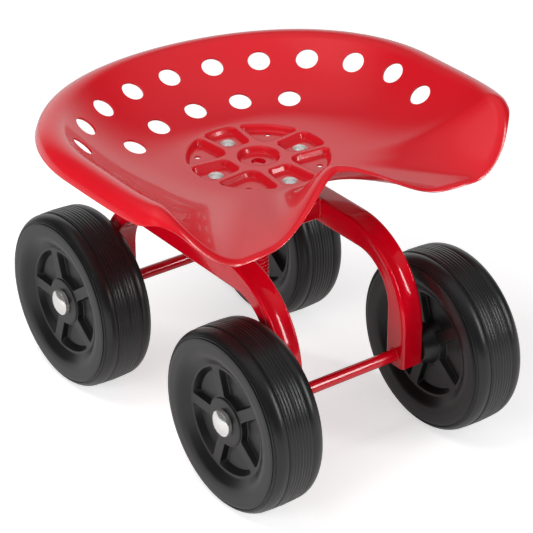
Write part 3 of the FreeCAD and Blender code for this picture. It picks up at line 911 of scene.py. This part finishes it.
def roundedSection(width, height, corner):
    section = []
    for su, sv, first in ((1, 1, 0), (-1, 1, 90), (-1, -1, 180), (1, -1, 270)):
        for k in range(cornerSteps + 1):
            u, v = polar(corner, radians(first + 90 * k / cornerSteps))
            section.append((su * (width / 2 - corner) + u, sv * (height / 2 - corner) + v))
    return section


def sweptTube(rings):
    count = len(rings[0])
    faces = []
    for row in range(len(rings)):
        faces += bandFaces(row * count, (row + 1) % len(rings) * count, count)
    return cleanMesh(plainMesh([spot for ring in rings for spot in ring], faces))


# Points of (u, v, share of the side walls' draw, share of the outer wall's dish)
def archSection(reach, corner):
    flat = reach - corner
    plain = [(u, v, 0.0, 0.0) for u, v in roundedSection(2 * reach, 2 * reach, corner)]
    right = [(reach, flat - drop, share, 0.0) for drop, share in reversed(arch["drawRows"])]
    left = [(-reach, flat - drop, -share, 0.0) for drop, share in arch["drawRows"]]
    across = [1 - 2 * k / arch["dishSteps"] for k in range(1, arch["dishSteps"])]
    outer = [(flat * share, reach, 0.0, 1 - share ** 2) for share in across]
    first, top = cornerSteps + 1, 2 * (cornerSteps + 1)
    return right + plain[:first] + outer + plain[first:top] + left + plain[top:]


# The outer wall bends round a larger circle than the inner one, sinks and draws the side walls in
def archRings(x, legY, bottom, top, inset):
    half = arch["size"] / 2
    outerBend, innerBend = arch["bendOuter"], arch["bendInner"]
    outerY, innerY = legY + half, legY - half
    stations = []
    for side in (-1, 1):
        foot = (Vector((x, side * outerY, bottom)), Vector((x, side * innerY, bottom)),
                Vector((0, side, 0)), 0.0)
        outer = Vector((x, side * (outerY - outerBend), top - outerBend))
        inner = Vector((x, side * (innerY - innerBend), top - arch["size"] - innerBend))
        leg = [foot]
        for k in range(arch["bendSteps"] + 1):
            turn = pi / 2 * k / arch["bendSteps"]
            normal = Vector((0, side * cos(turn), sin(turn)))
            leg.append((outer + normal * outerBend, inner + normal * innerBend, normal, sin(2 * turn) ** 2))
        stations += leg if side < 0 else reversed(leg)
    section = archSection(half - inset, arch["corner"] - inset)
    rings = []
    for outer, inner, normal, bent in stations:
        ring = []
        for u, v, draw, dish in section:
            sunk = v - arch["dish"] * bent * dish
            spot = outer - normal * (half - sunk) if v > 0 else inner + normal * (half + v)
            ring.append(spot + Vector((u - arch["draw"] * bent * draw, 0, 0)))
        rings.append(ring)
    return rings


axleLow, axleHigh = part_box("front_axle")
legY = -(axleLow.y + axleHigh.y) / 2 / mm
axleZ = (axleLow.z + axleHigh.z) / 2 / mm
for hand in ("left", "right"):
    low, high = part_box(hand + "_arch")
    x = (low.x + high.x) / 2 / mm
    size = arch["size"]
    skins = [archRings(x, legY, low.z / mm, high.z / mm, inset) for inset in (0.0, arch["wall"])]
    holes = [((x - size, y, axleZ), (x + size, y, axleZ), arch["axleHole"], holeSides) for y in (-legY, legY)]
    mesh = cutOut(sweptTube(skins[0] + skins[1][::-1]), holes)
    addPiece(hand + "_arch", mesh, sharp=30)

low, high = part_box("cross_tube")
middleZ = (low.z + high.z) / 2 / mm
skins = [roundedSection(cross["depth"] - 2 * inset, cross["height"] - 2 * inset, cross["corner"] - inset)
         for inset in (0.0, cross["wall"])]
ends = ((low.x, skins[0]), (high.x, skins[0]), (high.x, skins[1]), (low.x, skins[1]))
mesh = sweptTube([[(x / mm, u, middleZ + v) for u, v in skin] for x, skin in ends])
bushRadius, bushHeight, bushFoot = uprightSize("spindle_bush")
hole = ((0, 0, bushFoot), (0, 0, bushFoot + bushHeight), bushRadius + cross["bushPlay"], holeSides)
addPiece("cross_tube", cutOut(mesh, [hole]), sharp=30)


# Turned steel pieces

bush = {"bore": 10.05, "edge": 0.8, "steps": 64}
axle = {"edge": 0.6, "steps": 48}
screw = {"depth": 1.9, "pitch": 4.0, "crest": 0.28, "root": 0.66, "rowsPerPitch": 14, "steps": 48}
stopWasher = {"bore": 4.4, "edge": 0.5, "steps": 64}


def standing(profile, steps, finish, z):
    mesh = turnedMesh(profile, steps, finish)
    mesh.transform(Matrix.Translation((0, 0, z * mm)) @ Matrix.Rotation(-pi / 2, 4, "Y"))
    return cleanMesh(mesh)


profile = barProfile(bush["bore"], bushRadius, bushHeight, bush["edge"])
addPiece("spindle_bush", standing(profile, bush["steps"], "frame_paint", bushFoot))

for end in ("front", "rear"):
    low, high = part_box(end + "_axle")
    profile = barProfile(0, (high.z - low.z) / 2 / mm, (high.x - low.x) / mm, axle["edge"])
    mesh = cleanMesh(turnedMesh(profile, axle["steps"], "frame_paint"))
    mesh.transform(Matrix.Translation((low.x, (low.y + high.y) / 2, (low.z + high.z) / 2)))
    addPiece(end + "_axle", mesh)

spindleRadius, height, foot = uprightSize("spindle")
mesh = runTree(thread, "frame_paint", {
    "Radius": spindleRadius * mm, "Depth": screw["depth"] * mm, "Pitch": screw["pitch"] * mm,
    "Length": height * mm, "Crest": screw["crest"], "Root": screw["root"],
    "Rows": round(height / screw["pitch"] * screw["rowsPerPitch"]), "Steps": screw["steps"]})
mesh.transform(Matrix.Translation((0, 0, foot * mm)))
addPiece("spindle", cleanMesh(mesh, fill=True), sharp=60, name="spindleScrew")

radius, height, foot = uprightSize("stop_washer")
profile = barProfile(stopWasher["bore"], radius, height, stopWasher["edge"])
addPiece("stop_washer", standing(profile, stopWasher["steps"], "zinc", foot))


# Seat bolts with their washers and nuts, and the stop bolt

bolt = {"headRadius": 7.6, "headHeight": 2.8, "rimInset": 0.15, "rimFoot": 0.2, "shank": 4.0, "tailEdge": 0.7,
        "socketAcross": 4.0, "socketDepth": 0.5, "socketClear": 1, "steps": 48, "domeSteps": 10}
washer = {"play": 0.4, "edge": 0.25, "steps": 48}
nut = {"across": 13.0, "bevel": 0.45, "flatInset": 0.2, "play": 0.1, "steps": 96}
stopBolt = {"head": 5.5, "shank": 4.0, "steps": 32}
hexSides = 6


def domedBolt(tail, seatZ):
    radius, shank, edge = bolt["headRadius"], bolt["shank"], bolt["tailEdge"]
    top = seatZ + bolt["headHeight"]
    dome = domeProfile(top, bolt["headHeight"], radius, bolt["rimInset"], bolt["domeSteps"])
    rest = [(seatZ, radius - bolt["rimFoot"]), (seatZ, shank),
            (tail + edge, shank), (tail, shank - edge), (tail, 0)]
    mesh = standing(dome + rest, bolt["steps"], "zinc", 0)
    socket = ((0, 0, top - bolt["socketDepth"]), (0, 0, top + bolt["socketClear"]))
    return cutOut(mesh, [socket + (bolt["socketAcross"] / sqrt(3), hexSides)])


# A turned blank with its six flats cut off
def hexBlock(bottom, height, bore=0.0):
    half = nut["across"] / 2
    profile = barProfile(bore, nut["across"] / sqrt(3), height, nut["bevel"], half - nut["flatInset"])
    mesh = standing(profile, nut["steps"], "zinc", bottom)
    for k in range(hexSides):
        normal = Vector(polar(1.0, radians(360 / hexSides * (k + 0.5))) + (0,))
        with editing(mesh) as shell:
            bmesh.ops.bisect_plane(shell, geom=shell.verts[:] + shell.edges[:] + shell.faces[:],
                                   plane_co=normal * (half * mm), plane_no=normal, clear_outer=True)
            closeRims(shell)
    return cleanMesh(mesh)


def boltRing(node, mesh, sharp=38):
    addPiece(node, ringMesh(mesh, vents["bolts"], vents["boltCircle"] * mm, "zinc"), sharp)


radius, height, foot = uprightSize("seat_bolts")
boltRing("seat_bolts", domedBolt(foot, foot + height - bolt["headHeight"]))
radius, height, foot = uprightSize("seat_washers")
profile = barProfile(bolt["shank"] + washer["play"], radius - vents["boltCircle"], height, washer["edge"])
boltRing("seat_washers", standing(profile, washer["steps"], "zinc", foot))
radius, height, foot = uprightSize("seat_nuts")
boltRing("seat_nuts", hexBlock(foot, height, bolt["shank"] + nut["play"]), sharp=25)
radius, height, foot = uprightSize("stop_bolt")
start = stopBolt["head"] / 2
rod = [(start, 0), (start, stopBolt["shank"]), (height, stopBolt["shank"]), (height, 0)]
shank = standing(rod, stopBolt["steps"], "zinc", foot)
addPiece("stop_bolt", joinedMesh([hexBlock(foot, stopBolt["head"]), shank]), sharp=25)


# Weld beads on the frame and under the seat plate

weld = {"radius": 1.9, "ripple": 0.16, "uneven": 0.5, "grain": 300.0, "pitch": 2.6, "step": 0.45, "sides": 10,
        "lift": 0.4, "grow": 0.5, "ringSteps": 48,
        "axleRadius": 1.3, "axleLift": 0.2, "axleReach": 6.4, "axleSpan": slice(2, 34)}


def weldBead(points, closed=True, radius=weld["radius"]):
    guide = guideObject(points, closed)
    mesh = runTree(bead, "frame_paint", {
        "Path": guide, "Radius": radius * mm, "Ripple": weld["ripple"], "Uneven": weld["uneven"],
        "Grain": weld["grain"], "Pitch": weld["pitch"] * mm, "Step": weld["step"] * mm,
        "Sides": weld["sides"]})
    bpy.data.objects.remove(guide)
    return mesh


def circleLine(centre, radius, second):
    turns = [polar(1.0, tau * k / weld["ringSteps"]) for k in range(weld["ringSteps"])]
    return [Vector(centre) + (Vector((0, 1, 0)) * c + Vector(second) * s) * radius for c, s in turns]


def levelRing(z, radius):
    return weldBead(circleLine((0, 0, z), radius + weld["grow"], (1, 0, 0)))


low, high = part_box("cross_tube")
grow, lift = weld["grow"], weld["lift"]
section = roundedSection(cross["depth"] + 2 * grow, cross["height"] + 2 * grow, cross["corner"] + grow)
beads = [weldBead([(x, u, middleZ + v) for u, v in section]) for x in (low.x / mm + lift, high.x / mm - lift)]
beads += [levelRing(z, bushRadius) for z in (low.z / mm - lift, high.z / mm + lift)]
for end, hand, side in axleEnds:
    archLow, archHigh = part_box(hand + "_arch")
    x = (archHigh.x if side < 0 else archLow.x) / mm - side * weld["axleLift"]
    y = -legY if end == "front" else legY
    ring = circleLine((x, y, axleZ), weld["axleReach"], (0, 0, 1))
    beads.append(weldBead(ring[weld["axleSpan"]], closed=False, radius=weld["axleRadius"]))
addPiece("cross_tube", cleanMesh(joinedMesh(beads)), sharp=60, name="frameWelds", extra=True)
mesh = levelRing(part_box("seat_plate")[0].z / mm - lift, spindleRadius)
addPiece("spindle", cleanMesh(mesh), sharp=60, name="spindleWeld", extra=True)


# The nodes' own solids get the same finishes

for node, slot in slotOf.items():
    materials = frame["nodes"][node].data.materials
    materials.clear()
    materials.append(finishes[slot])


# Stage: white floor, soft light, the photograph's view

stage = {"floorColour": 0.72, "floorGlow": 0.6, "farGlow": 1.0, "glowReach": (0.7, 2.2), "floorMirror": 0.45,
         "floorSize": 14.0, "diffuseSky": 0.2, "frontSky": 0.03, "topSky": 0.5, "topFade": (0.58, 0.95),
         "backSky": 1.0, "backFade": (0.62, 0.95), "backAim": (0.595, 0.804, 0.0), "lampAim": (0, 0, 0.15)}
softboxes = {
    "topBox": {"place": (-0.8, 0.1, 1.9), "size": (1.0, 1.0), "power": 17.0},
    "leftBox": {"place": (-2.05, -0.45, 0.85), "size": (1.0, 1.0), "power": 26.0},
    "frontFill": {"place": (0.2, -2.2, 0.5), "size": (1.0, 0.6), "power": 11.0},
    "stripBox": {"place": (1.2, -1.84, 1.22), "size": (0.3, 1.2), "power": 17.5,
                 "roll": -18.6, "gloss": True},
}
view = {"lens": 160.6, "sensor": 36.0, "target": (-0.00117, -0.01419, 0.15), "distance": 2.2716,
        "azimuth": -36.5, "elevation": 29.0}


def grey(level):
    return level, level, level, 1


def mirrorRays(graph):
    glossy = graph.node("ShaderNodeLightPath", out="Is Glossy Ray")
    return graph.maths("MAXIMUM", glossy, glossy.pick("Is Transmission Ray"))


def makeFloor():
    mesh = bpy.data.meshes.new("floor")
    with editing(mesh) as shell:
        bmesh.ops.create_grid(shell, x_segments=1, y_segments=1, size=stage["floorSize"] / 2)
    material, graph, coords = startFinish("paleFloor")
    matt = graph.node("ShaderNodeBsdfDiffuse", None, {"Color": grey(stage["floorColour"])})
    camera = graph.node("ShaderNodeLightPath", out="Is Camera Ray")
    reach = graph.node("ShaderNodeVectorMath", {"operation": "LENGTH"}, {0: coords}, out="Value")
    share = graph.fade(reach, stage["glowReach"])
    glow = graph.node("ShaderNodeEmission", None, {
        "Color": graph.between(share, grey(stage["floorGlow"]), grey(stage["farGlow"])),
        "Strength": camera + mirrorRays(graph) * stage["floorMirror"]})
    both = graph.node("ShaderNodeAddShader", None, {0: matt, 1: glow})
    graph.node("ShaderNodeOutputMaterial", None, {"Surface": both})
    mesh.materials.append(material)
    linked("floor", mesh)


def skyPatch(graph, aim, toward, reach, level):
    share = graph.node("ShaderNodeVectorMath", {"operation": "DOT_PRODUCT"}, {0: aim, 1: toward}, out="Value")
    return graph.fade(share, reach, (stage["frontSky"], level))


def makeWorld():
    world = bpy.data.worlds.new("studio")
    world.use_nodes = True
    world.node_tree.nodes.clear()
    graph = Graph(world.node_tree)
    camera = graph.node("ShaderNodeLightPath", out="Is Camera Ray")
    aim = graph.node("ShaderNodeTexCoord", out="Generated")
    behind = skyPatch(graph, aim, stage["backAim"], stage["backFade"], stage["backSky"])
    above = skyPatch(graph, aim, (0, 0, 1), stage["topFade"], stage["topSky"])
    mirror = mirrorRays(graph)
    seen = graph.maths("MAXIMUM", behind, above)
    strength = camera + mirror * seen + (1 - camera - mirror) * stage["diffuseSky"]
    sky = graph.node("ShaderNodeBackground", None, {"Color": grey(1), "Strength": strength})
    graph.node("ShaderNodeOutputWorld", None, {"Surface": sky})
    scene.world = world


def aimed(thing, place, ahead, roll=0.0):
    thing.location = place
    thing.rotation_mode = "QUATERNION"
    turn = Quaternion((0, 0, 1), radians(roll))
    thing.rotation_quaternion = ahead.to_track_quat("-Z", "Y") @ turn


def makeSoftbox(name, form):
    lamp = bpy.data.lights.new(name, "AREA")
    lamp.shape = "RECTANGLE"
    lamp.size, lamp.size_y = form["size"]
    lamp.energy = form["power"]
    box = linked(name, lamp)
    aimed(box, form["place"], Vector(stage["lampAim"]) - Vector(form["place"]), form.get("roll", 0.0))
    box.visible_glossy = form.get("gloss", False)


def makeCamera():
    lens = bpy.data.cameras.new("camera")
    lens.lens = view["lens"]
    lens.sensor_width = view["sensor"]
    camera = linked("camera", lens)
    turn, lift = radians(view["azimuth"]), radians(view["elevation"])
    back = Vector((sin(turn) * cos(lift), -cos(turn) * cos(lift), sin(lift)))
    aimed(camera, Vector(view["target"]) + back * view["distance"], -back)
    scene.camera = camera


makeFloor()
makeWorld()
for name, form in softboxes.items():
    makeSoftbox(name, form)
makeCamera()
print("stage set")
